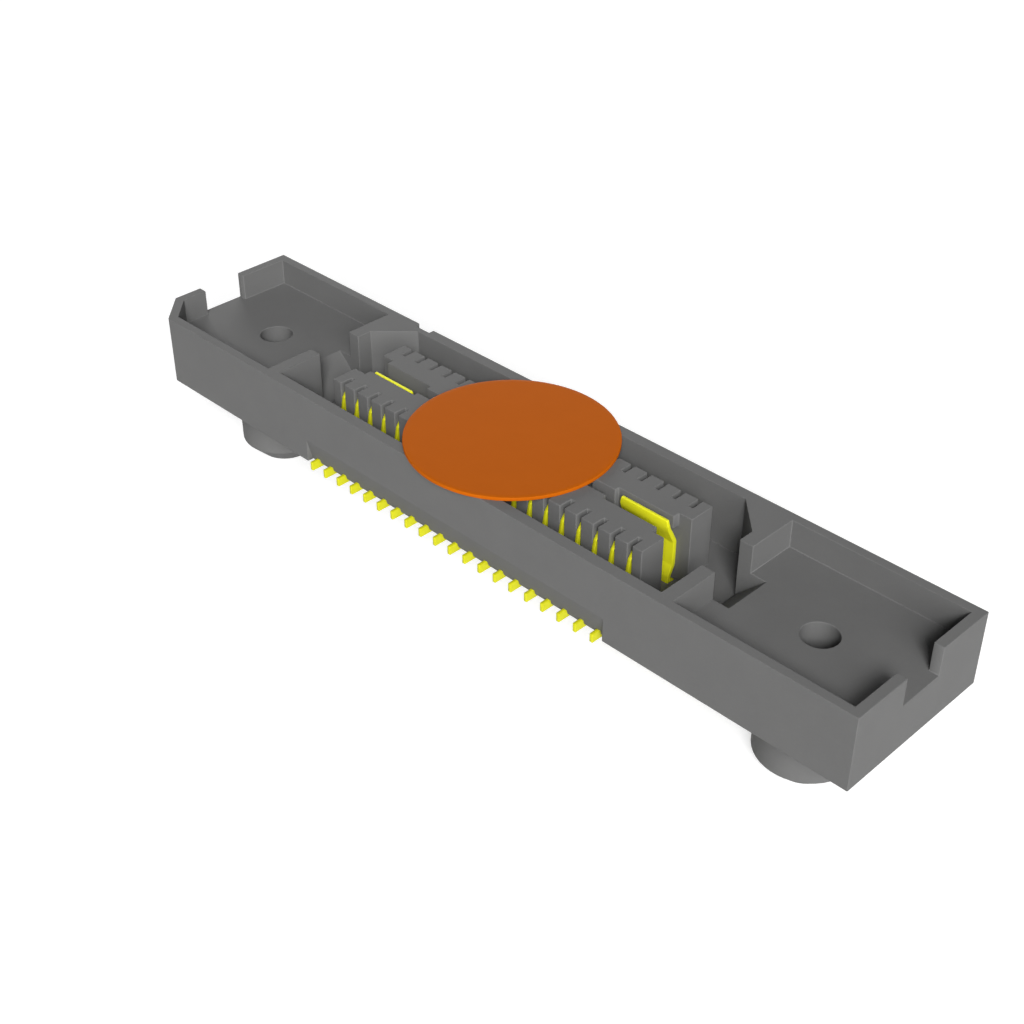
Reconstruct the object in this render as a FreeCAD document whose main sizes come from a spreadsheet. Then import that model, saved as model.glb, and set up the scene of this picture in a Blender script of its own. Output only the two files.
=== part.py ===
"""Low-profile board-to-board socket: two rows of blade contacts at 0.8 mm pitch in one long moulding.

The socket stands on its two locating pegs.  X runs along the rows, Y across them, Z up.  The
origin is midway between the pegs, level with their ends.  Heights in the table of sizes are
measured up from the housing's underside, and every piece is then lifted by the peg length.
Lengths are millimetres.
"""
import FreeCAD, Part
import os
import re
import Sketcher
from FreeCAD import Placement, Rotation, Vector

SIZES = {
    # Rows of contacts
    "contact_pitch": 0.8,
    "contact_count": 20,
    # Housing shell, from the middle of the length to its ends
    "tower_margin": 0.56,
    "cavity_gap": 1.9,
    "partition_wall": 0.59,
    "pocket_length": 7.2,
    "end_wall": 0.41,
    "body_width": 7.22,
    "body_height": 3.05,
    "side_wall": 0.39,
    "corner_cut": 1.29,
    "corner_wall": 0.4,
    "pocket_floor": 1.9,
    "notch_width": 2.03,
    "cavity_wall": 0.51,
    "cavity_floor": 0.51,
    "cavity_corner": 1.4,
    "gate_width": 2.03,
    "ramp_run": 1.28,
    "undercut_margin": 0.375,
    "undercut_height": 1.0,
    "undercut_inset": 0.26,
    "key_offset": 0.52,
    "key_width": 0.86,
    "key_depth": 0.25,
    # Locating pegs and the guide holes through them
    "peg_inset": 3.91,
    "peg_radius": 1.87,
    "peg_length": 3.81,
    "peg_chamfer": 0.76,
    "guide_radius": 0.685,
    # The two towers that carry the contacts, and the throat between them
    "tower_face": 1.9,
    "end_level": 0.742,
    "spring_level": 0.445,
    "rib_level": 0.24,
    "end_zone": 0.586,
    "spring_zone": 2.575,
    "rib_length": 1.13,
    "trough_floor": 0.15,
    "slot_depth": 0.58,
    "slot_clearance": 0.033,
    "floor_relief": 0.15,
    # Signal contact: a blade blanked from strip, tail outwards and beam upwards
    "contact_thickness": 0.145,
    "tail_overhang": 0.13,
    "tail_top": 0.176,
    "solder_drop": 0.188,
    "heel_inset": 1.01,
    "heel_run": 0.15,
    "root_width": 0.46,
    "root_height": 0.86,
    "beam_width": 0.17,
    "contact_bulge": 0.09,
    "bulge_low": 1.25,
    "bulge_drop": 1.09,
    "bulge_rise": 0.05,
    "kink_drop": 0.64,
    "tip_drop": 0.37,
    "tip_inset": 0.2,
    # Ground spring: a wide strip bent to press on the mating board's ground plate
    "spring_thickness": 0.18,
    "spring_width": 2.26,
    "centre_spring_width": 3.3,
    "centre_spring_place": 1.95,
    "spring_clearance": 0.02,
    "spring_jog": 0.2,
    "solder_tab_run": 0.25,
    "solder_tab_gap": 0.02,
    "tab_relief_depth": 0.1,
    "tab_clearance": 0.04,
    "jog_low": 0.4,
    "jog_high": 0.8,
    "lean_start_drop": 1.21,
    "lean_end_drop": 0.7,
    "spring_reach": 0.3,
    "crest_rise": 0.05,
    "spring_top_drop": 0.11,
    "spring_tip": 0.185,
    "spring_tip_width": 0.12,
    "tip_cut_side": 0.05,
    "tip_cut_height": 0.25,
    "hood_thickness": 0.55,
    "window_clearance": 0.02,
    # Pick-up pad
    "pad_diameter": 8.25,
    "pad_thickness": 0.15,
}

# Lengths that follow from the table, each written as a sum of its entries
FOLLOWING = {
    "half_row": "(contact_count - 1) * contact_pitch / 2",
    "tower_half": "half_row + tower_margin",
    "cavity_half": "tower_half + cavity_gap",
    "pocket_start": "cavity_half + partition_wall",
    "pocket_end": "pocket_start + pocket_length",
    "body_half": "pocket_end + end_wall",
    "half_width": "body_width / 2",
    "pocket_side": "half_width - side_wall",
    "pocket_corner": "corner_cut + 2 ^ 0.5 * corner_wall - end_wall - side_wall",
    "cavity_side": "half_width - cavity_wall",
    "ramp_start": "cavity_half + ramp_run",
    "ramp_foot": "pocket_floor - ramp_run",
    "peg_place": "body_half - peg_inset",
    "spring_end": "tower_half - end_zone",
    "rib_outer": "spring_end - spring_zone",
    "rib_inner": "rib_outer - rib_length",
    "slot_back": "tower_face - slot_depth",
    "slot_front": "tower_face + floor_relief",
    "slot_width": "contact_thickness + 2 * slot_clearance",
    "key_place": "tower_half + key_offset",
    "hood_height": "body_height - hood_thickness",
    "heel_reach": "half_width - heel_inset",
    "tail_tip": "half_width + tail_overhang",
    "root_front": "slot_back + root_width",
    "bulge_face": "tower_face + contact_bulge",
    "bulge_high": "body_height - bulge_drop",
    "kink_height": "body_height - kink_drop",
    "tip_height": "body_height - tip_drop",
    "spring_back": "end_level",
    "spring_face": "end_level - spring_thickness",
    "foot_face": "spring_face - spring_jog",
    "window_side": "foot_face - window_clearance",
    "solder_tab_end": "spring_back + solder_tab_run",
    "relief_end": "solder_tab_end + tab_clearance",
    "lean_start": "body_height - lean_start_drop",
    "lean_end": "body_height - lean_end_drop",
    "spring_top": "body_height - spring_top_drop",
    "end_spring_place": "spring_end - spring_clearance - spring_width / 2",
}


def expression(text):
    """Spell out an arithmetic text on names from the two tables as one on the sheet's cells."""
    def spell(match):
        word = match.group()
        if word in FOLLOWING:
            return "(" + expression(FOLLOWING[word]) + ")"
        return "Sizes." + word
    return re.sub(r"[a-z_]+", spell, text)


doc = FreeCAD.newDocument("board_socket")
sheet = doc.addObject("Spreadsheet::Sheet", "Sizes")
for row, (alias, size) in enumerate(SIZES.items(), start=1):
    sheet.set(f"A{row}", alias)
    sheet.set(f"B{row}", str(size))
    sheet.setAlias(f"B{row}", alias)
doc.recompute()


def length(text):
    """Length in millimetres that an arithmetic text on the tables stands for."""
    return float(sheet.evalExpression(expression(text)))


def bind(thing, prop, text):
    """Tie a property to an arithmetic text on the tables."""
    thing.setExpression(prop, expression(text))


def turned(points):
    """The same outline turned half a turn about the sketch's origin."""
    return [(f"-({u})", f"-({v})") for u, v in points]


def mirrored(points):
    """The same outline on the other side of the sketch's vertical axis."""
    return [(f"-({u})", v) for u, v in points]


def rectangle(x_low, x_high, y_low, y_high):
    """Corners of a rectangle with sides along the sketch's axes."""
    return [(x_low, y_low), (x_high, y_low), (x_high, y_high), (x_low, y_high)]


def draw_outline(sketch, points):
    """Draw a closed outline through (u, v) corners, each pinned from the sketch's origin.

    A third entry makes the run that starts at that corner an arc that rises this far above its
    chord.  A fourth entry, "clockwise", makes it turn right instead of left.  An arc that rises
    by r over a chord of length c has the radius c * c / (8 * r) + r / 2.
    """
    first = sketch.GeometryCount
    runs = []
    ends = []
    for point, follower in zip(points, points[1:] + points[:1]):
        start = Vector(length(point[0]), length(point[1]), 0)
        end = Vector(length(follower[0]), length(follower[1]), 0)
        clockwise = "clockwise" in point
        if len(point) == 2:
            runs.append(Part.LineSegment(start, end))
        else:
            outwards = (end - start).cross(Vector(0, 0, -1 if clockwise else 1)).normalize()
            middle = (start + end) * 0.5 + outwards * length(point[2])
            runs.append(Part.Arc(start, middle, end))
        ends.append((2, 1) if clockwise else (1, 2))
    sketch.addGeometry(runs, False)
    for index, point in enumerate(points):
        run = first + index
        after = (index + 1) % len(points)
        sketch.addConstraint(
            Sketcher.Constraint("Coincident", run, ends[index][1], first + after, ends[after][0]))
        for kind, text in (("DistanceX", point[0]), ("DistanceY", point[1])):
            number = sketch.addConstraint(
                Sketcher.Constraint(kind, -1, 1, run, ends[index][0], length(text)))
            bind(sketch, f"Constraints[{number}]", text)
        if len(point) > 2:
            follower = points[after]
            chord = f"(({follower[0]} - ({point[0]}))^2 + ({follower[1]} - ({point[1]}))^2)"
            radius = f"{chord} / (8 * {point[2]}) + {point[2]} / 2"
            number = sketch.addConstraint(Sketcher.Constraint("Radius", run, length(radius)))
            bind(sketch, f"Constraints[{number}]", radius)


def draw_circle(sketch, x_place, radius):
    """Draw a circle centred on the sketch's own X axis."""
    run = sketch.addGeometry(
        Part.Circle(Vector(length(x_place), 0, 0), Vector(0, 0, 1), length(radius)), False)
    sketch.addConstraint(Sketcher.Constraint("PointOnObject", run, 3, -1))
    place = sketch.addConstraint(Sketcher.Constraint("DistanceX", -1, 1, run, 3, length(x_place)))
    bind(sketch, f"Constraints[{place}]", x_place)
    size = sketch.addConstraint(Sketcher.Constraint("Radius", run, length(radius)))
    bind(sketch, f"Constraints[{size}]", radius)


def lift(piece):
    """Raise a piece from the housing's underside to its height above the peg ends."""
    bind(piece, "Placement.Base.z", "peg_length")


# Housing, one moulding

housing = doc.addObject("PartDesign::Body", "housing")
housing.Label = "housing"


def housing_sketch(name, plane, offset, outlines=(), circles=()):
    """A sketch of the housing on one of its three middle planes, moved along that plane's normal."""
    sketch = housing.newObject("Sketcher::SketchObject", name)
    support = next(feature for feature in housing.Origin.OriginFeatures if feature.Role == plane)
    sketch.AttachmentSupport = [(support, "")]
    sketch.MapMode = "FlatFace"
    bind(sketch, "AttachmentOffset.Base.z", offset)
    for outline in outlines:
        draw_outline(sketch, outline)
    for place, radius in circles:
        draw_circle(sketch, place, radius)
    return sketch


def housing_step(kind, name, sketch, depth=None, upside_down=False, both_ways=False):
    """Add to the housing or cut from it, to a depth or right through, and note what it changed."""
    before = housing.Shape.Volume if housing.Tip else 0.0
    step = housing.newObject("PartDesign::" + kind, name)
    step.Profile = sketch
    if depth is None:
        step.Type = "ThroughAll"
    else:
        bind(step, "Length", depth)
    step.Reversed = upside_down
    if both_ways:
        step.SideType = "Symmetric"
    housing.Tip = step
    doc.recompute()
    print(f"{name:18s} volume change {housing.Shape.Volume - before:9.4f} mm3")
    return step


shell = housing_sketch("shell_outline", "XY_Plane", "0", [[
    ("corner_cut - body_half", "-half_width"),
    ("body_half", "-half_width"),
    ("body_half", "half_width"),
    ("-body_half", "half_width"),
    ("-body_half", "corner_cut - half_width"),
]])
housing_step("Pad", "shell", shell, "body_height")

end_pocket_right = rectangle("pocket_start", "pocket_end", "-pocket_side", "pocket_side")
end_pocket_left = [
    ("pocket_corner - pocket_end", "-pocket_side"),
    ("-pocket_start", "-pocket_side"),
    ("-pocket_start", "pocket_side"),
    ("-pocket_end", "pocket_side"),
    ("-pocket_end", "pocket_corner - pocket_side"),
]
end_pockets = housing_sketch("end_pocket_outline", "XY_Plane", "body_height",
                             [end_pocket_right, end_pocket_left])
housing_step("Pocket", "end_pockets", end_pockets, "body_height - pocket_floor")

notch_right = rectangle("pocket_start", "body_half", "-notch_width / 2", "notch_width / 2")
notches = housing_sketch("end_notch_outline", "XY_Plane", "body_height",
                         [notch_right, turned(notch_right)])
housing_step("Pocket", "end_notches", notches, "body_height - pocket_floor")

cavity = housing_sketch("cavity_outline", "XY_Plane", "body_height", [[
    ("-cavity_half", "-cavity_side"),
    ("cavity_half", "-cavity_side"),
    ("cavity_half", "cavity_side - cavity_corner"),
    ("cavity_half - cavity_corner", "cavity_side"),
    ("cavity_corner - cavity_half", "cavity_side"),
    ("-cavity_half", "cavity_side - cavity_corner"),
]])
housing_step("Pocket", "cavity", cavity, "body_height - cavity_floor")

# Each partition has a gate, and a 45 degree ramp leads from it up to the end pocket's floor
gate_right = [
    ("cavity_half", "ramp_foot"),
    ("ramp_start", "pocket_floor"),
    ("ramp_start", "body_height"),
    ("cavity_half", "body_height"),
]
gates = housing_sketch("gate_outline", "XZ_Plane", "0", [gate_right, mirrored(gate_right)])
housing_step("Pocket", "gates", gates, "gate_width", both_ways=True)

trough = housing_sketch("trough_outline", "XY_Plane", "cavity_floor",
                        [rectangle("-tower_half", "tower_half", "-end_level", "end_level")])
housing_step("Pocket", "trough", trough, "cavity_floor - trough_floor")

# The towers' inner sides step in towards the throat, and the steps are the same on both towers
tower_steps = [
    ("tower_half", "end_level"),
    ("spring_end", "end_level"),
    ("spring_end", "spring_level"),
    ("rib_outer", "spring_level"),
    ("rib_outer", "rib_level"),
    ("rib_inner", "rib_level"),
    ("rib_inner", "spring_level"),
]
back_tower = [("-tower_half", "tower_face"), ("tower_half", "tower_face")] + tower_steps
back_tower += mirrored(reversed(tower_steps))
towers = housing_sketch("tower_outline", "XY_Plane", "trough_floor", [back_tower, turned(back_tower)])
housing_step("Pad", "towers", towers, "body_height - trough_floor")

# One slot takes one contact: up the tower's outer face, through the floor and out along the underside
back_slot = [
    ("slot_back", "0"),
    ("half_width", "0"),
    ("half_width", "tail_top"),
    ("slot_front", "tail_top"),
    ("slot_front", "body_height"),
    ("slot_back", "body_height"),
]
slots = housing_sketch("slot_outline", "YZ_Plane", "-half_row", [back_slot, mirrored(back_slot)])
first_slots = housing_step("Pocket", "first_slots", slots, "slot_width", both_ways=True)
one_slot_pair = housing.Shape.Volume
slot_rows = housing.newObject("PartDesign::LinearPattern", "slot_rows")
slot_rows.Originals = [first_slots]
slot_rows.Direction = (next(axis for axis in housing.Origin.OriginFeatures if axis.Role == "X_Axis"), [""])
bind(slot_rows, "Length", "2 * half_row")
bind(slot_rows, "Occurrences", "contact_count")
housing.Tip = slot_rows
doc.recompute()
print(f"slot_rows          volume change {housing.Shape.Volume - one_slot_pair:9.4f} mm3")

back_undercut = [
    ("half_width - undercut_inset", "0"),
    ("half_width", "0"),
    ("half_width", "undercut_height"),
]
undercuts = housing_sketch("undercut_outline", "YZ_Plane", "0", [back_undercut, mirrored(back_undercut)])
housing_step("Pocket", "undercuts", undercuts, "2 * (half_row + undercut_margin)", both_ways=True)

# Windows cored from below for the ground springs, which sit by turns on one tower and the other, and
# a shallow relief beside each window for the spring's solder tab


def under_springs(near, far):
    """Rectangles under the four springs, which span two distances from the middle of the throat."""
    end = rectangle("end_spring_place - spring_width / 2 - spring_clearance", "spring_end", near, far)
    centre = rectangle("centre_spring_place - centre_spring_width / 2 - spring_clearance",
                       "centre_spring_place + centre_spring_width / 2 + spring_clearance",
                       f"-{far}", f"-{near}")
    return [end, turned(end), centre, turned(centre)]


windows = housing_sketch("window_outline", "XY_Plane", "0", under_springs("window_side", "spring_back"))
housing_step("Pocket", "spring_windows", windows, "hood_height", upside_down=True)
reliefs = housing_sketch("relief_outline", "XY_Plane", "0", under_springs("window_side", "relief_end"))
housing_step("Pocket", "tab_reliefs", reliefs, "tab_relief_depth", upside_down=True)

key_groove = housing_sketch("key_outline", "XY_Plane", "body_height", [rectangle(
    "-key_place - key_width / 2", "-key_place + key_width / 2", "half_width - key_depth", "half_width")])
housing_step("Pocket", "key_groove", key_groove)

pegs = housing_sketch("peg_outline", "XY_Plane", "0",
                      circles=[("peg_place", "peg_radius"), ("-peg_place", "peg_radius")])
peg_pad = housing_step("Pad", "pegs", pegs, "peg_length", upside_down=True)
peg_rims = [f"Edge{number}" for number, edge in enumerate(peg_pad.Shape.Edges, start=1)
            if edge.BoundBox.ZMax < -length("peg_length") + 1e-4]
lead_in = housing.newObject("PartDesign::Chamfer", "peg_lead_in")
lead_in.Base = (peg_pad, peg_rims)
bind(lead_in, "Size", "peg_chamfer")
housing.Tip = lead_in
doc.recompute()

guides = housing_sketch("guide_outline", "XY_Plane", "pocket_floor",
                        circles=[("peg_place", "guide_radius"), ("-peg_place", "guide_radius")])
housing_step("Pocket", "guide_holes", guides)
lift(housing)

# Signal contacts, forty alike: the tail lies out along the board and the beam stands in its slot

SIDEWAYS = Rotation(Vector(1, 1, 1), 120)
contact_profile = doc.addObject("Sketcher::SketchObject", "contact_profile")
contact_profile.Placement = Placement(Vector(), SIDEWAYS)
draw_outline(contact_profile, [
    ("slot_back", "0"),
    ("heel_reach", "0"),
    ("heel_reach + heel_run", "-solder_drop"),
    ("tail_tip", "-solder_drop"),
    ("tail_tip", "tail_top"),
    ("root_front", "tail_top"),
    ("root_front", "root_height - beam_width"),
    ("bulge_face", "bulge_low", "bulge_rise"),
    ("bulge_face", "bulge_high"),
    ("tower_face", "kink_height"),
    ("tower_face - tip_inset", "tip_height"),
    ("tower_face - tip_inset - beam_width / 2", "tip_height - beam_width / 2"),
    ("tower_face - beam_width", "kink_height - beam_width / 4"),
    ("bulge_face - beam_width", "bulge_high", "bulge_rise", "clockwise"),
    ("bulge_face - beam_width", "bulge_low"),
    ("root_front - beam_width", "root_height"),
    ("slot_back", "root_height"),
])

contacts = []
for side, turn in (("front", 180), ("back", 0)):
    for number in range(1, int(SIZES["contact_count"]) + 1):
        contact = doc.addObject("Part::Extrusion", f"{side}_contact_{number:02d}")
        contact.Label = contact.Name
        contact.Base = contact_profile
        contact.DirMode = "Normal"
        contact.Solid = True
        contact.Symmetric = True
        bind(contact, "LengthFwd", "contact_thickness")
        contact.Placement = Placement(Vector(), Rotation(Vector(0, 0, 1), turn))
        bind(contact, "Placement.Base.x", f"{number - 1} * contact_pitch - half_row")
        lift(contact)
        contacts.append(contact)

# Ground springs: strip bent to one profile, in two widths, with a solder tab bent out under the
# housing and the two top corners cut

spring_profile = doc.addObject("Sketcher::SketchObject", "spring_profile")
spring_profile.Placement = Placement(Vector(), SIDEWAYS)
draw_outline(spring_profile, [
    ("foot_face", "-solder_drop"),
    ("solder_tab_end", "-solder_drop"),
    ("solder_tab_end", "-solder_tab_gap"),
    ("foot_face + spring_thickness", "-solder_tab_gap"),
    ("foot_face + spring_thickness", "jog_low"),
    ("spring_back", "jog_high"),
    ("spring_back", "lean_start"),
    ("spring_reach + spring_thickness", "lean_end", "crest_rise", "clockwise"),
    ("spring_tip + spring_tip_width", "spring_top - spring_tip_width / 3"),
    ("spring_tip", "spring_top", "crest_rise"),
    ("spring_reach", "lean_end"),
    ("spring_face", "lean_start"),
    ("spring_face", "jog_high"),
    ("foot_face", "jog_low"),
])


def ground_spring(name, width, place, turn):
    """One ground spring: the bent strip, trimmed to its blank with two cut top corners."""
    strip = doc.addObject("Part::Extrusion", name + "_strip")
    strip.Base = spring_profile
    strip.DirMode = "Normal"
    strip.Solid = True
    strip.Symmetric = True
    bind(strip, "LengthFwd", width)
    blank_outline = doc.addObject("Sketcher::SketchObject", name + "_blank_outline")
    blank_outline.Placement = Placement(Vector(), Rotation(Vector(1, 0, 0), 90))
    draw_outline(blank_outline, [
        (f"-{width} / 2", "-solder_drop"),
        (f"{width} / 2", "-solder_drop"),
        (f"{width} / 2", "spring_top - tip_cut_height"),
        (f"{width} / 2 - tip_cut_side", "spring_top"),
        (f"tip_cut_side - {width} / 2", "spring_top"),
        (f"-{width} / 2", "spring_top - tip_cut_height"),
    ])
    blank = doc.addObject("Part::Extrusion", name + "_blank")
    blank.Base = blank_outline
    blank.DirMode = "Normal"
    blank.Solid = True
    blank.Symmetric = True
    bind(blank, "LengthFwd", "2 * body_width")
    spring = doc.addObject("Part::Common", name)
    spring.Label = name
    spring.Base = strip
    spring.Tool = blank
    spring.Placement = Placement(Vector(), Rotation(Vector(0, 0, 1), turn))
    bind(spring, "Placement.Base.x", place)
    lift(spring)
    return spring


springs = [
    ground_spring("left_ground_spring", "spring_width", "-end_spring_place", 180),
    ground_spring("centre_left_ground_spring", "centre_spring_width", "-centre_spring_place", 0),
    ground_spring("centre_right_ground_spring", "centre_spring_width", "centre_spring_place", 180),
    ground_spring("right_ground_spring", "spring_width", "end_spring_place", 0),
]

# Pick-up pad: a round of film stuck on the towers and walls for a vacuum nozzle to lift by

pickup_pad = doc.addObject("Part::Cylinder", "pickup_pad")
pickup_pad.Label = "pickup_pad"
bind(pickup_pad, "Radius", "pad_diameter / 2")
bind(pickup_pad, "Height", "pad_thickness")
bind(pickup_pad, "Placement.Base.z", "peg_length + body_height")

doc.recompute()

faults = [thing.Name for thing in doc.Objects if {"Invalid", "Error"} & set(thing.State)]
if faults:
    raise RuntimeError("these did not build: " + ", ".join(faults))
pieces = [housing] + contacts + springs + [pickup_pad]
for piece in pieces:
    if piece.Shape.isNull() or not piece.Shape.isValid() or len(piece.Shape.Solids) != 1:
        raise RuntimeError(piece.Label + " is not one valid solid")

os.makedirs("parts", exist_ok=True)
for piece in pieces:
    piece.Shape.exportStep(f"parts/{piece.Label}.step")
    box = piece.Shape.BoundBox
    print(f"{piece.Label:28s} {piece.Shape.Volume:9.4f} mm3  X {box.XMin:8.3f} {box.XMax:8.3f}  "
          f"Y {box.YMin:7.3f} {box.YMax:7.3f}  Z {box.ZMin:6.3f} {box.ZMax:6.3f}")
print(len(pieces), "pieces written")
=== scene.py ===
import bmesh
import bpy
import numpy as np
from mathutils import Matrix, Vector


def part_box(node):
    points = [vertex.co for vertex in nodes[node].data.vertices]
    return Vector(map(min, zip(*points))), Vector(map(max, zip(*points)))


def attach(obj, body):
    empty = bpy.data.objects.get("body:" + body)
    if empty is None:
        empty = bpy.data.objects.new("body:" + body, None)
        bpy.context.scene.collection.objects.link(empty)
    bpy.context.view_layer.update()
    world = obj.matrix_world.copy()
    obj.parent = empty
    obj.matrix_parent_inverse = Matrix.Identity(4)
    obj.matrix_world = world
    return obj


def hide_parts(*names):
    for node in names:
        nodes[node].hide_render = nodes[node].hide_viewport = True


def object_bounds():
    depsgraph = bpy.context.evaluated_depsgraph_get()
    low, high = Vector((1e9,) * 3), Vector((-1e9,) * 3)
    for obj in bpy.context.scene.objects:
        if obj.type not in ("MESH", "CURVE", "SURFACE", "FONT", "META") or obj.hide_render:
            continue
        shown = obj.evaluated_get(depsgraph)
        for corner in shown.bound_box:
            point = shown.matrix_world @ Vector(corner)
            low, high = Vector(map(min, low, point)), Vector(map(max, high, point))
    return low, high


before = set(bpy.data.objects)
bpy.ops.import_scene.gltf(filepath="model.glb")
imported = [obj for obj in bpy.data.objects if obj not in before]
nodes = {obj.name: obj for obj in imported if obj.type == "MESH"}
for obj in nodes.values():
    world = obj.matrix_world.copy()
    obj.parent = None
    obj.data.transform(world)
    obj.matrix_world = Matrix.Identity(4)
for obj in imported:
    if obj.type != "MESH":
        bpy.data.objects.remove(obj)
cad_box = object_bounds()

# Housing: one injection moulding in dark grey glass-filled plastic, matte from the spark-eroded
# skin of its tool. It has the outer walls, the end pockets, the well with the two slotted towers
# and the two locating pegs, and every edge is slightly round, as a moulding comes out.

MM = 0.001
SAME_POINT = 0.0001
LEVEL_ANGLE = 1.0
ROUNDED_ANGLE = 12.0
HOUSING_EDGE = 0.035
EDGE_STEPS = 2
PLASTIC_LIGHT = (0.172, 0.172, 0.170, 1.0)
PLASTIC_DARK = (0.143, 0.143, 0.142, 1.0)
PLASTIC_GLOSS = 0.07
CLOUDS_PER_MM = 0.7
CLOUD_SHARE = 0.55
SPECKLES_PER_MM = 16.0
SPECKLE_STRETCH = (0.5, 1.0, 1.0)
PLASTIC_ROUGHNESS = (0.56, 0.70)
GRAINS_PER_MM = 24.0
GRAIN_DEPTH = 0.004


class Wire:
    """One output socket of a shader tree, so that maths on it reads as plain Python."""

    def __init__(self, tree, socket):
        self.tree = tree
        self.socket = socket

    def __add__(self, other):
        return self.tree.maths("ADD", self, other)

    def __radd__(self, other):
        return self.tree.maths("ADD", other, self)

    def __mul__(self, other):
        return self.tree.maths("MULTIPLY", self, other)

    def __rmul__(self, other):
        return self.tree.maths("MULTIPLY", other, self)


class Tree:
    """The nodes and links of a material or of the world."""

    def __init__(self, node_tree):
        self.nodes = node_tree.nodes
        self.links = node_tree.links

    def node(self, kind, settings, values, output=0):
        """Any node, from its type, its settings and the values or wires of its sockets."""
        made = self.nodes.new(kind)
        for name, value in settings.items():
            setattr(made, name, value)
        for socket, value in values.items():
            if isinstance(value, Wire):
                self.links.new(value.socket, made.inputs[socket])
            else:
                made.inputs[socket].default_value = value
        return Wire(self, made.outputs[output])

    def maths(self, operation, *operands):
        """A Math node on operands in order, each a wire or a number."""
        return self.node("ShaderNodeMath", {"operation": operation}, dict(enumerate(operands)))


class Finish(Tree):
    """A material in the making: a Principled shader and the nodes that feed it."""

    def __init__(self, name, constants):
        self.material = bpy.data.materials.new(name)
        self.material.use_nodes = True
        super().__init__(self.material.node_tree)
        self.shader = self.nodes["Principled BSDF"]
        for socket, value in constants.items():
            self.shader.inputs[socket].default_value = value

    def place(self, stretch=(1.0, 1.0, 1.0)):
        """The point of the surface in millimetres, each axis multiplied by its stretch."""
        coordinates = self.node("ShaderNodeTexCoord", {}, {}, "Object")
        factors = [value / MM for value in stretch]
        return self.node("ShaderNodeVectorMath", {"operation": "MULTIPLY"},
                         {0: coordinates, 1: factors})

    def noise(self, place, per_mm, detail):
        """Smooth noise from 0 to 1, with so many bumps to the millimetre."""
        return self.node("ShaderNodeTexNoise", {},
                         {"Vector": place, "Scale": per_mm, "Detail": detail})

    def blend(self, amount, first, second):
        """A colour that goes from the first to the second as the amount goes from 0 to 1."""
        return self.node("ShaderNodeMix", {"data_type": "RGBA"},
                         {"Factor": amount, 6: first, 7: second}, 2)

    def feed(self, socket, wire):
        """Let a wire drive a socket of the shader."""
        self.links.new(wire.socket, self.shader.inputs[socket])

    def roughen(self, amount, limits):
        """Roughness that goes from the first limit to the second as the amount goes from 0 to 1."""
        self.feed("Roughness", amount * (limits[1] - limits[0]) + limits[0])

    def relief(self, height, depth):
        """Bumps of a depth in millimetres, from a height that goes from 0 to 1."""
        self.feed("Normal", self.node("ShaderNodeBump", {}, {"Distance": depth * MM, "Height": height}))


def moulded_plastic():
    """Grey plastic: cloudy where the melt flowed, speckled by glass fibre, with a fine grain."""
    finish = Finish("housing_plastic", {"Specular IOR Level": PLASTIC_GLOSS})
    place = finish.place()
    cloud = finish.noise(place, CLOUDS_PER_MM, 3.0)
    speckle = finish.noise(finish.place(SPECKLE_STRETCH), SPECKLES_PER_MM, 3.0)
    tone = cloud * CLOUD_SHARE + speckle * (1.0 - CLOUD_SHARE)
    finish.feed("Base Color", finish.blend(tone, PLASTIC_DARK, PLASTIC_LIGHT))
    finish.roughen(speckle, PLASTIC_ROUGHNESS)
    finish.relief(finish.noise(place, GRAINS_PER_MM, 2.0), GRAIN_DEPTH)
    return finish.material


def merged_copy(node_name, piece_name):
    """A CAD node's faces in a new object, its loose triangles joined and its level ones made one."""
    work = bmesh.new()
    work.from_mesh(nodes[node_name].data)
    bmesh.ops.remove_doubles(work, verts=work.verts, dist=SAME_POINT * MM)
    bmesh.ops.dissolve_limit(work, angle_limit=np.radians(LEVEL_ANGLE),
                             verts=work.verts, edges=work.edges)
    mesh = bpy.data.meshes.new(piece_name)
    work.to_mesh(mesh)
    work.free()
    piece = bpy.data.objects.new(piece_name, mesh)
    bpy.context.scene.collection.objects.link(piece)
    return piece


moulding = merged_copy("housing", "housing_moulding")
moulding.data.polygons.foreach_set("use_smooth", np.ones(len(moulding.data.polygons), dtype=bool))
moulding.data.materials.append(moulded_plastic())
edge_break = moulding.modifiers.new("edge_break", "BEVEL")
edge_break.width = HOUSING_EDGE * MM
edge_break.segments = EDGE_STEPS
edge_break.limit_method = "ANGLE"
edge_break.angle_limit = np.radians(ROUNDED_ANGLE)
edge_break.use_clamp_overlap = False
edge_break.miter_outer = "MITER_SHARP"
level_faces = moulding.modifiers.new("level_faces", "WEIGHTED_NORMAL")
level_faces.weight = 100
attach(moulding, "root")
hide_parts("housing")

# Signal contacts: forty blades blanked from copper alloy strip, twenty a row, plated with gold
# and pushed up into their slots. Each has a tail along the board, a heel, a root in the floor
# and a beam that bows out of its tower to touch the mating blade, with its tip bent back in.

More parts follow.
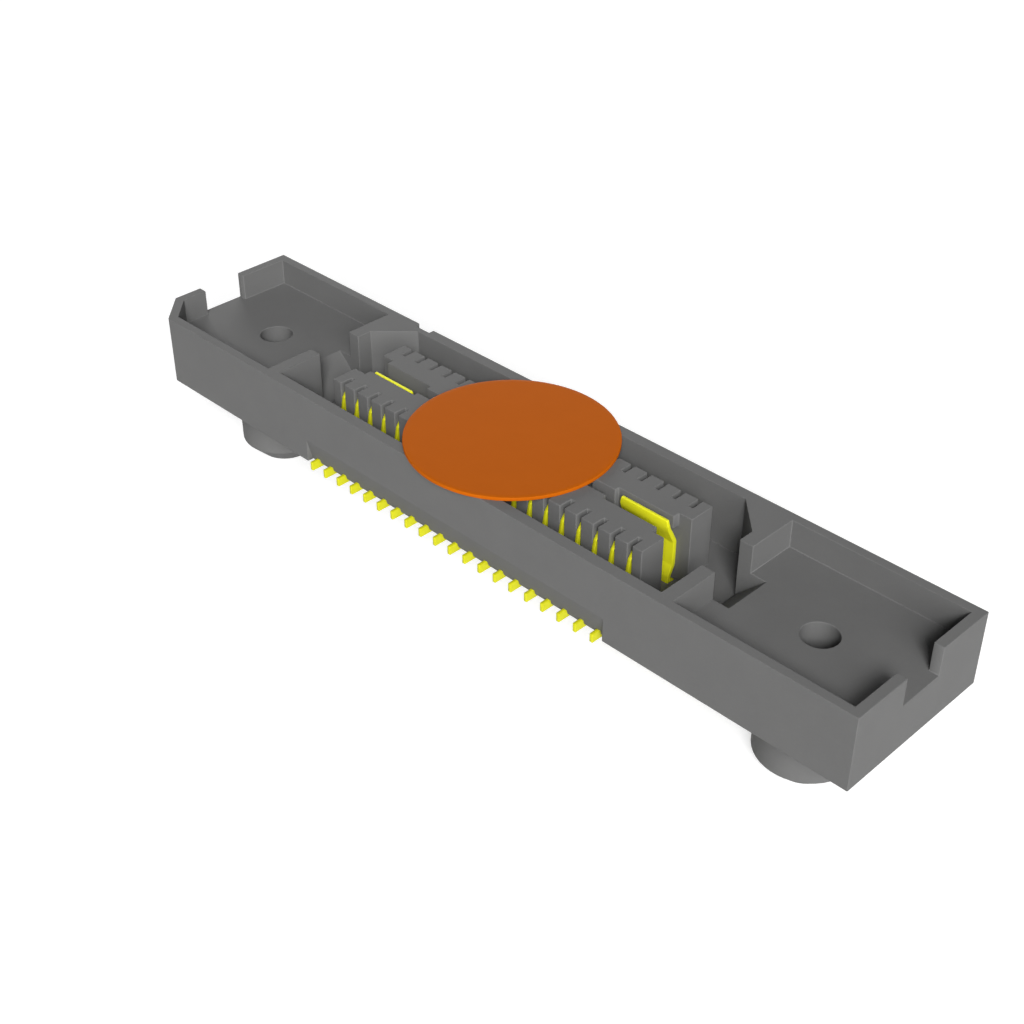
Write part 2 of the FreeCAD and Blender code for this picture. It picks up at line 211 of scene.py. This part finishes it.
SOLDER_DROP = 0.188
SLOT_BACK = 1.32
HEEL_REACH = 2.6
HEEL_RUN = 0.15
TAIL_TOP = 0.176
ROOT_FRONT = 1.78
ROOT_HEIGHT = 0.86
BEAM_WIDTH = 0.17
BOW_FACE = 1.99
BOW_LOW = 1.25
BOW_HIGH = 1.96
BOW_RISE = 0.05
KINK_FACE = 1.9
KINK_HEIGHT = 2.41
TIP_FACE = 1.7
TIP_HEIGHT = 2.68
BLANKED_CORNER = 0.015
BLANKED_EDGE = 0.008
BOW_STEPS = 7
CORNER_STEPS = 3
GOLD_LIGHT = (0.73, 0.725, 0.018, 1.0)
GOLD_DEEP = (0.65, 0.640, 0.013, 1.0)
GOLD_GLOSS = 0.15
GOLD_METAL = 0.18
GOLD_ROUGHNESS = (0.30, 0.48)
PLATING_CLOUDS_PER_MM = 1.6
PLATING_CLOUD_SHARE = 0.7
CONTACT_MARKS_PER_MM = (2.0, 18.0, 5.0)
MARK_DEPTH = 0.0012


def plated_gold(name, marks_per_mm, deep, light):
    """Yellow gold plating: slightly uneven in depth, over the fine marks of rolling and blanking."""
    finish = Finish(name, {"Specular IOR Level": GOLD_GLOSS, "Metallic": GOLD_METAL})
    marks = finish.noise(finish.place(marks_per_mm), 1.0, 2.0)
    cloud = finish.noise(finish.place(), PLATING_CLOUDS_PER_MM, 2.0)
    tone = cloud * PLATING_CLOUD_SHARE + marks * (1.0 - PLATING_CLOUD_SHARE)
    finish.feed("Base Color", finish.blend(tone, deep, light))
    finish.roughen(marks, GOLD_ROUGHNESS)
    finish.relief(marks, MARK_DEPTH)
    return finish.material


def softened(corners, radius, steps, closed):
    """A run of points whose corners are turned on a curve.

    The curve at corner P leaves the side before at A and meets the side after at B, each a radius
    from P or at 45% of a shorter side. At t from 0 to 1 it is (1-t)(1-t) A + 2t(1-t) P + t t B.
    """
    corners = np.asarray(corners)
    before = np.roll(corners, 1, axis=0) - corners
    after = np.roll(corners, -1, axis=0) - corners
    back = np.hypot(*before.T)[:, None]
    ahead = np.hypot(*after.T)[:, None]
    start = corners + before * np.minimum(radius / back, 0.45)
    end = corners + after * np.minimum(radius / ahead, 0.45)
    if not closed:
        start[[0, -1]] = corners[[0, -1]]
        end[[0, -1]] = corners[[0, -1]]
    t = np.linspace(0.0, 1.0, steps)[:, None]
    leaving = (1 - t) ** 2 * start[:, None]
    turning = 2 * t * (1 - t) * corners[:, None]
    meeting = t ** 2 * end[:, None]
    run = (leaving + turning + meeting).reshape(-1, 2)
    if not closed:
        run = run[steps - 1:len(run) - steps + 1]
    return run


def bow(face, rise, low, high):
    """An arched stretch from low to high: at s from -1 to 1 its face is at face + rise (1 - s s)."""
    s = np.linspace(-1.0, 1.0, BOW_STEPS)
    return np.column_stack([face + rise * (1 - s ** 2), (low + high) / 2 + s * (high - low) / 2])


def mesh_piece(name, rings, material, node_name):
    """A closed skin over rings of points, with a face across each end, that stands for a CAD node.

    rings[i, j] is point j of ring i in millimetres, and the quad i, j joins it to the next of each.
    """
    count, around = rings.shape[:2]
    numbers = np.arange(count * around).reshape(count, around)
    following = np.roll(numbers, -1, axis=1)
    quads = np.stack([numbers[:-1], following[:-1], following[1:], numbers[1:]], axis=-1)
    caps = [numbers[0, ::-1].tolist(), numbers[-1].tolist()]
    mesh = bpy.data.meshes.new(name)
    mesh.from_pydata((rings.reshape(-1, 3) * MM).tolist(), [], quads.reshape(-1, 4).tolist() + caps)
    smooth = np.ones(len(mesh.polygons), dtype=bool)
    smooth[-2:] = False
    mesh.polygons.foreach_set("use_smooth", smooth)
    mesh.materials.append(material)
    piece = bpy.data.objects.new(name, mesh)
    bpy.context.scene.collection.objects.link(piece)
    work = bmesh.new()
    work.from_mesh(mesh)
    bmesh.ops.recalc_face_normals(work, faces=work.faces)
    work.to_mesh(mesh)
    work.free()
    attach(piece, "root")
    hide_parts(node_name)
    return piece


def drawn_in(outline, distance):
    """A closed outline, anticlockwise, moved inwards along its normals by a distance."""
    along = np.roll(outline, -1, axis=0) - np.roll(outline, 1, axis=0)
    along /= np.hypot(*along.T)[:, None]
    return outline + distance * np.column_stack([-along[:, 1], along[:, 0]])


def contact_outline(tail_tip):
    """The blade's outline, anticlockwise, as distance from the middle and height over the underside."""
    corners = np.concatenate([
        [(SLOT_BACK, 0.0), (HEEL_REACH, 0.0), (HEEL_REACH + HEEL_RUN, -SOLDER_DROP),
         (tail_tip, -SOLDER_DROP), (tail_tip, TAIL_TOP), (ROOT_FRONT, TAIL_TOP),
         (ROOT_FRONT, ROOT_HEIGHT - BEAM_WIDTH)],
        bow(BOW_FACE, BOW_RISE, BOW_LOW, BOW_HIGH),
        [(KINK_FACE, KINK_HEIGHT), (TIP_FACE, TIP_HEIGHT),
         (TIP_FACE - BEAM_WIDTH / 2, TIP_HEIGHT - BEAM_WIDTH / 2),
         (KINK_FACE - BEAM_WIDTH, KINK_HEIGHT - BEAM_WIDTH / 4)],
        bow(BOW_FACE - BEAM_WIDTH, BOW_RISE, BOW_HIGH, BOW_LOW),
        [(ROOT_FRONT - BEAM_WIDTH, ROOT_HEIGHT), (SLOT_BACK, ROOT_HEIGHT)],
    ])
    return softened(corners, BLANKED_CORNER, CORNER_STEPS, closed=True)


contact_gold = plated_gold("contact_gold", CONTACT_MARKS_PER_MM, GOLD_DEEP, GOLD_LIGHT)
for node_name in nodes:
    if "_contact_" in node_name:
        low, high = (np.array(corner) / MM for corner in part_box(node_name))
        side = np.sign(low[1] + high[1])
        outline = contact_outline(max(abs(low[1]), abs(high[1])))
        edge_line = drawn_in(outline, BLANKED_EDGE)
        underside = low[2] + SOLDER_DROP
        levels = [low[0], low[0] + BLANKED_EDGE, high[0] - BLANKED_EDGE, high[0]]
        lines = [edge_line, outline, outline, edge_line]
        rings = [np.column_stack([np.full(len(line), level), side * line[:, 0], underside + line[:, 1]])
                 for level, line in zip(levels, lines)]
        mesh_piece(node_name + "_blade", np.array(rings), contact_gold, node_name)

# Ground springs: wide strips of the same alloy, bent to a jog low down and a lean at the top, which
# press on the ground plate of the mating half. They stand in the throat on one tower and the other by
# turns, with their feet through windows in its floor and bent out below as tabs to solder.

STRIP_THICKNESS = 0.176
STRIP_TIP_THICKNESS = 0.12
STRIP_EDGE = 0.025
TAB_LEVEL = -0.1
FOOT_LINE = 0.452
BODY_LINE = 0.652
JOG_LOW = 0.4
JOG_HIGH = 0.8
LEAN_START = 1.84
LEAN_END = 2.35
LEAN_LINE = 0.39
CREST_RISE = 0.055
TIP_LINE = 0.245
STRIP_TOP = 2.94
TIP_CUT_SIDE = 0.05
TIP_CUT_HEIGHT = 0.25
TAB_BEND = 0.2
SLIGHT_BEND = 0.06
CREST_STEPS = 7
BEND_STEPS = 6
END_DRAW = 0.6
STRIP_MARKS_PER_MM = (16.0, 3.0, 2.0)
# Painted light: the springs take the contacts' gold plating painted about a third brighter. This stands
# in for the light that the shade deep in the throat takes from them.
STRIP_GOLD_LIGHT_BRIGHTENED_AS_PAINTED_LIGHT = (0.95, 0.945, 0.024, 1.0)
STRIP_GOLD_DEEP_BRIGHTENED_AS_PAINTED_LIGHT = (0.88, 0.870, 0.018, 1.0)


def strip_section(half_widths, half_thicknesses, edges):
    """Rounded rectangles, one a row: four corners, each turned on a quarter circle of the edge radius.

    Point a of corner k lies across at sign_k (half width - edge) + edge cos a, and through the
    thickness at the same with sin.
    """
    quarters = np.array([[0.0], [90.0], [180.0], [270.0]])
    angles = np.radians(quarters + np.linspace(0.0, 90.0, 4)).ravel()
    side_signs = np.repeat([1.0, -1.0, -1.0, 1.0], 4)
    face_signs = np.repeat([1.0, 1.0, -1.0, -1.0], 4)
    across = side_signs * (half_widths - edges)[:, None] + edges[:, None] * np.cos(angles)
    through = face_signs * (half_thicknesses - edges)[:, None] + edges[:, None] * np.sin(angles)
    return across, through


def crest():
    """The arched top of the path: at t from 0 to 1 it is the chord's point less 4 rise t (1 - t)."""
    t = np.linspace(0.0, 1.0, CREST_STEPS)
    line = LEAN_LINE + t * (TIP_LINE - LEAN_LINE) - 4 * CREST_RISE * t * (1 - t)
    return np.column_stack([line, LEAN_END + t * (STRIP_TOP - LEAN_END)])


def ground_spring(node_name, material):
    """The strip's section carried from its tab up its bent path, each ring square to the path."""
    low, high = (np.array(corner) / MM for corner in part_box(node_name))
    side = np.sign(low[1] + high[1])
    middle = (low[0] + high[0]) / 2
    underside = low[2] + SOLDER_DROP
    tab_end = max(abs(low[1]), abs(high[1]))
    corners = np.concatenate([
        [(tab_end, TAB_LEVEL), (FOOT_LINE, TAB_LEVEL), (FOOT_LINE, JOG_LOW), (BODY_LINE, JOG_HIGH),
         (BODY_LINE, LEAN_START)],
        crest(),
    ])
    bends = np.full((len(corners), 1), SLIGHT_BEND)
    bends[:2] = TAB_BEND
    path = softened(corners, bends, BEND_STEPS, closed=False)
    along = np.gradient(path, axis=0)
    along /= np.hypot(*along.T)[:, None]
    path = np.concatenate([path[:1], path[:1] + along[:1] * STRIP_EDGE, path[1:-1],
                           path[-1:] - along[-1:] * STRIP_EDGE, path[-1:]])
    along = np.concatenate([along[:1], along, along[-1:]])
    height = path[:, 1]
    thinning = np.clip((height - LEAN_END) / (STRIP_TOP - LEAN_END), 0.0, 1.0)
    cutting = np.clip((height - STRIP_TOP + TIP_CUT_HEIGHT) / TIP_CUT_HEIGHT, 0.0, 1.0)
    half_thicknesses = (STRIP_THICKNESS + thinning * (STRIP_TIP_THICKNESS - STRIP_THICKNESS)) / 2
    half_widths = (high[0] - low[0]) / 2 - TIP_CUT_SIDE * cutting
    drawn = np.zeros(len(path))
    drawn[[0, -1]] = STRIP_EDGE * END_DRAW
    across, through = strip_section(half_widths - drawn, half_thicknesses - drawn, STRIP_EDGE - drawn)
    out = path[:, :1] + through * along[:, 1:]
    up = path[:, 1:] - through * along[:, :1]
    rings = np.stack([middle + across, side * out, underside + up], axis=-1)
    return mesh_piece(node_name + "_strip", rings, material, node_name)


# The springs' plating is a brighter copy of the contacts' plating, painted light for the shade in the
# throat.
spring_gold = plated_gold("spring_gold", STRIP_MARKS_PER_MM, STRIP_GOLD_DEEP_BRIGHTENED_AS_PAINTED_LIGHT, STRIP_GOLD_LIGHT_BRIGHTENED_AS_PAINTED_LIGHT)
for node_name in nodes:
    if node_name.endswith("ground_spring"):
        ground_spring(node_name, spring_gold)

# Pick-up pad: a round punched from amber heat-resistant film, stuck over the towers and walls for
# a vacuum nozzle to lift the connector by. It is peeled off before the connector is used.

PAD_EDGE = 0.035
PAD_DISHING = 0.006
PAD_HUB = 0.02
PAD_RINGS = 23
PAD_SIDES = 96
RIM_STEPS = 5
FILM_LIGHT = (0.558, 0.1215, 0.0045, 1.0)
FILM_DEEP = (0.518, 0.111, 0.0035, 1.0)
FILM_GLOSS = 0.01
FILM_ROUGHNESS = (0.34, 0.46)
MOTTLES_PER_MM = 1.1
MOTTLE_SHARE = 0.7
DRAGS_PER_MM = (0.4, 9.0, 1.0)
DRAG_DEPTH = 0.0015


def amber_film():
    """Amber film with a satin face, a faint mottle from its adhesive and the drag lines of casting."""
    finish = Finish("pad_film", {"Specular IOR Level": FILM_GLOSS})
    mottle = finish.noise(finish.place(), MOTTLES_PER_MM, 2.0)
    drag = finish.noise(finish.place(DRAGS_PER_MM), 1.0, 2.0)
    tone = mottle * MOTTLE_SHARE + drag * (1.0 - MOTTLE_SHARE)
    finish.feed("Base Color", finish.blend(tone, FILM_DEEP, FILM_LIGHT))
    finish.roughen(drag, FILM_ROUGHNESS)
    finish.relief(drag, DRAG_DEPTH)
    return finish.material


def film_round(low, high):
    """Rings of a thin round: a profile turned about the middle, with its rim on two quarter circles.

    The profile goes out along the underside, round the rim and back in over the top. The top falls
    by the dishing times cos squared of a quarter turn times r / R, so it is level at the rim.
    """
    radius = (high[0] - low[0]) / 2
    middle = (low + high) / 2
    turn = np.radians(np.linspace(0.0, 90.0, RIM_STEPS))
    inner = np.linspace(PAD_HUB, radius - PAD_EDGE, PAD_RINGS + 1)[:-1]
    rim_out = radius - PAD_EDGE + PAD_EDGE * np.sin(turn)
    rim_rise = PAD_EDGE * (1 - np.cos(turn))
    reach = np.concatenate([inner, rim_out, rim_out[::-1], inner[::-1]])
    dish = PAD_DISHING * np.cos(inner / radius * np.pi / 2) ** 2
    height = np.concatenate([np.full(len(inner), low[2]), low[2] + rim_rise,
                             high[2] - rim_rise[::-1], high[2] - dish[::-1]])
    around = np.linspace(0.0, 2 * np.pi, PAD_SIDES, endpoint=False)
    across = middle[0] + reach[:, None] * np.cos(around)
    along = middle[1] + reach[:, None] * np.sin(around)
    return np.stack([across, along, np.broadcast_to(height[:, None], across.shape)], axis=-1)


pad_low, pad_high = (np.array(corner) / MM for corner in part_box("pickup_pad"))
mesh_piece("pickup_pad_film", film_round(pad_low, pad_high), amber_film(), "pickup_pad")

# Floor, sky and lamps: a pale floor under an even white sky, both of which the camera, gloss and
# clear stuff see as plain white. The key lamp stands behind the camera, a weaker one lights the end
# from low on the right, and one on the far side keeps the back and the other end clear.

WHITE = (1.0, 1.0, 1.0, 1.0)
BLACK = (0.0, 0.0, 0.0, 1.0)
SKY_LIGHT = 0.04
FLOOR_HALF = 0.35
FLOOR_COLOUR = (0.6, 0.6, 0.6, 1.0)
FLOOR_GLOW = (0.62, 0.62, 0.62, 1.0)


def seen_as_white(tree):
    """1 for rays from the camera, off gloss or through clear stuff, and 0 for the rest."""
    camera_ray, gloss_ray, clear_ray = (
        tree.node("ShaderNodeLightPath", {}, {}, output)
        for output in ("Is Camera Ray", "Is Glossy Ray", "Is Transmission Ray"))
    return tree.maths("MAXIMUM", tree.maths("MAXIMUM", camera_ray, gloss_ray), clear_ray)


world = bpy.data.worlds.new("studio")
world.use_nodes = True
bpy.context.scene.world = world
sky = Tree(world.node_tree)
dim_sky = sky.node("ShaderNodeBackground", {}, {"Color": WHITE, "Strength": SKY_LIGHT})
white_sky = sky.node("ShaderNodeBackground", {}, {"Color": WHITE, "Strength": 1.0})
whole_sky = sky.node("ShaderNodeMixShader", {}, {0: seen_as_white(sky), 1: dim_sky, 2: white_sky})
sky.links.new(whole_sky.socket, sky.nodes["World Output"].inputs["Surface"])

bpy.ops.mesh.primitive_plane_add(size=2 * FLOOR_HALF, location=(0, 0, cad_box[0].z))
floor = bpy.context.object
floor.name = "studio_floor"
floor_white = Finish("floor_white", {"Base Color": FLOOR_COLOUR, "Roughness": 1.0,
                                     "Specular IOR Level": 0.0, "Emission Strength": 1.0})
floor_white.feed("Emission Color", floor_white.blend(seen_as_white(floor_white), BLACK, FLOOR_GLOW))
floor.data.materials.append(floor_white.material)


def lamp(name, towards, distance, size, watts):
    """A square soft lamp that stands in a direction from the object and faces it."""
    light = bpy.data.lights.new(name, "AREA")
    light.size = size
    light.energy = watts
    holder = bpy.data.objects.new(name, light)
    bpy.context.scene.collection.objects.link(holder)
    direction = Vector(towards).normalized()
    holder.location = direction * distance
    holder.rotation_euler = direction.to_track_quat("Z", "Y").to_euler()


lamp("key_lamp", (1.0, -1.0, 1.0), 1.0, 0.3, 9.5)
lamp("side_lamp", (1.8, -1.0, 0.65), 1.0, 0.5, 4.9)
lamp("far_lamp", (-1.2, 1.0, 0.06), 1.0, 0.6, 8.0)

# Camera: it looks along the photograph's isometric direction, at the distance and with the lens
# that the even pitch of the tails and the right angles of the housing give.

CAMERA_PLACE = (36.476, -36.478, 39.968)
CAMERA_LENS = 57.274

camera_data = bpy.data.cameras.new("photo_camera")
camera_data.sensor_width = 36.0
camera_data.lens = CAMERA_LENS
camera_data.clip_start = 0.001
camera_data.clip_end = 10.0
camera = bpy.data.objects.new("photo_camera", camera_data)
bpy.context.scene.collection.objects.link(camera)
camera.location = Vector(CAMERA_PLACE) * MM
camera.rotation_euler = Vector((1, -1, 1)).to_track_quat("Z", "Y").to_euler()
bpy.context.scene.camera = camera
bpy.context.scene.view_settings.view_transform = "Standard"
